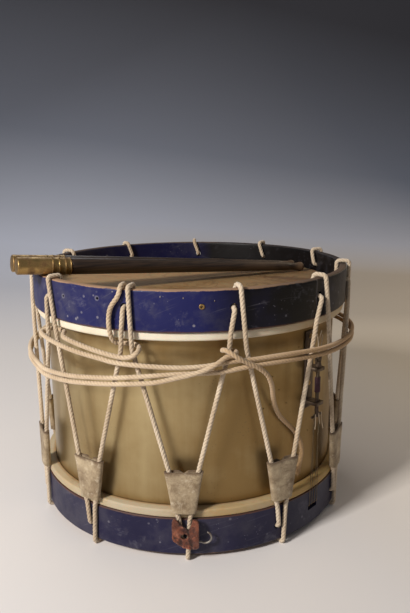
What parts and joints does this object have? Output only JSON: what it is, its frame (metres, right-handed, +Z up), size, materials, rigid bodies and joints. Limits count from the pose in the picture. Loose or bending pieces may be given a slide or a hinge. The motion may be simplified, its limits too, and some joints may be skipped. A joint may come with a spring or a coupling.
{
  "type": "marching drum",
  "caption": "Rope-tension military side drum: brass shell, blue wooden hoops, skin heads, leather ears on rope lacing, a wound spare rope, gut snares and a pair of sticks.",
  "frame": {"origin": "The middle of the drum's box on the floor, without the spare rope; the drum's axis stands 0.8 mm towards +X and 0.3 mm towards +Y of it.", "axes": "+Z is up along the drum's axis. The front, with the belt tab, faces -Y. +X is to the right, towards the strainer."},
  "size_m": [0.4234, 0.4301, 0.327],
  "materials": {
    "brass_shell": "satin, tarnished",
    "blue_paint": "satin paint, scuffed",
    "bare_wood": "bare",
    "calfskin": "matte, translucent skin",
    "rope": "laid hemp",
    "buff_leather": "suede",
    "red_leather": "worn",
    "steel_wire": "worn",
    "dark_iron": "oxidised",
    "aged_brass": "aged",
    "gut": "waxed gut",
    "dark_stick_wood": "polished"
  },
  "bodies": {
    "drum": {"shell": "brass_shell", "upper_counterhoop": "blue_paint", "lower_counterhoop": "blue_paint", "upper_flesh_hoop": "bare_wood", "lower_flesh_hoop": "bare_wood", "batter_head": "calfskin", "snare_head": "calfskin", "spare_rope": "rope", "belt_tab": "red_leather", "strainer_bracket": "dark_iron", "strainer_rivet_lower": "aged_brass", "strainer_rivet_upper": "aged_brass", "hoop_eyelet": "aged_brass", "snare_gut": "gut", "tension_rope_01": "rope", "tension_rope_02": "rope", "tension_rope_03": "rope", "tension_rope_04": "rope", "tension_rope_05": "rope", "tension_rope_06": "rope", "tension_rope_07": "rope", "tension_rope_08": "rope", "tension_rope_09": "rope", "tension_rope_10": "rope", "tension_rope_11": "rope"},
    "ear_01": {"ear_01": "buff_leather"},
    "ear_02": {"ear_02": "buff_leather"},
    "ear_03": {"ear_03": "buff_leather"},
    "ear_04": {"ear_04": "buff_leather"},
    "ear_05": {"ear_05": "buff_leather"},
    "ear_06": {"ear_06": "buff_leather"},
    "ear_07": {"ear_07": "buff_leather"},
    "ear_08": {"ear_08": "buff_leather"},
    "ear_09": {"ear_09": "buff_leather"},
    "ear_10": {"ear_10": "buff_leather"},
    "ear_11": {"ear_11": "buff_leather"},
    "wing_nut": {"wing_nut": "dark_iron"},
    "strainer_rod": {"strainer_rod": "dark_iron"},
    "belt_hook": {"belt_hook": "steel_wire"},
    "front_stick": {"front_stick_shaft": "dark_stick_wood", "front_stick_ferrule": "aged_brass"},
    "rear_stick": {"rear_stick_shaft": "dark_stick_wood", "rear_stick_ferrule": "aged_brass"}
  },
  "joints": [
    {"name": "ear_01_slide", "type": "slide", "parent": "drum", "child": "ear_01", "axis": [0, 0, 1], "range_m": [0, 0.045], "deforming": ["tension_rope_01"]},
    {"name": "ear_02_slide", "type": "slide", "parent": "drum", "child": "ear_02", "axis": [0, 0, 1], "range_m": [0, 0.045], "deforming": ["tension_rope_02"]},
    {"name": "ear_03_slide", "type": "slide", "parent": "drum", "child": "ear_03", "axis": [0, 0, 1], "range_m": [0, 0.045], "deforming": ["tension_rope_03"]},
    {"name": "ear_04_slide", "type": "slide", "parent": "drum", "child": "ear_04", "axis": [0, 0, 1], "range_m": [0, 0.045], "deforming": ["tension_rope_04"]},
    {"name": "ear_05_slide", "type": "slide", "parent": "drum", "child": "ear_05", "axis": [0, 0, 1], "range_m": [0, 0.045], "deforming": ["tension_rope_05"]},
    {"name": "ear_06_slide", "type": "slide", "parent": "drum", "child": "ear_06", "axis": [0, 0, 1], "range_m": [0, 0.045], "deforming": ["tension_rope_06"]},
    {"name": "ear_07_slide", "type": "slide", "parent": "drum", "child": "ear_07", "axis": [0, 0, 1], "range_m": [0, 0.045], "deforming": ["tension_rope_07"]},
    {"name": "ear_08_slide", "type": "slide", "parent": "drum", "child": "ear_08", "axis": [0, 0, 1], "range_m": [0, 0.045], "deforming": ["tension_rope_08"]},
    {"name": "ear_09_slide", "type": "slide", "parent": "drum", "child": "ear_09", "axis": [0, 0, 1], "range_m": [0, 0.045], "deforming": ["tension_rope_09"]},
    {"name": "ear_10_slide", "type": "slide", "parent": "drum", "child": "ear_10", "axis": [0, 0, 1], "range_m": [0, 0.045], "deforming": ["tension_rope_10"]},
    {"name": "ear_11_slide", "type": "slide", "parent": "drum", "child": "ear_11", "axis": [0, 0, 1], "range_m": [0, 0.045], "deforming": ["tension_rope_11"]},
    {"name": "wing_nut_turn", "type": "hinge", "parent": "drum", "child": "wing_nut", "pos_m": [0.14568, -0.13514, 0.2013], "axis": [0, 0, -1], "range_deg": [0, 2160]},
    {"name": "strainer_rod_lift", "type": "slide", "parent": "drum", "child": "strainer_rod", "axis": [0, 0, 1], "range_m": [0, 0.006], "deforming": ["snare_gut"]},
    {"name": "belt_hook_swing", "type": "hinge", "parent": "drum", "child": "belt_hook", "pos_m": [0.0046, -0.20109, 0.02445], "axis": [0.9993, -0.0378, 0], "range_deg": [0, 180]},
    {"name": "front_stick_lift", "type": "slide", "parent": "drum", "child": "front_stick", "axis": [0, 0, 1], "range_m": [0, 0.12]},
    {"name": "rear_stick_lift", "type": "slide", "parent": "drum", "child": "rear_stick", "axis": [0, 0, 1], "range_m": [0, 0.12]}
  ],
  "couplings": [
    {"joint": "wing_nut_turn", "follows": "strainer_rod_lift", "rad_per_m": 6283.2}
  ]
}
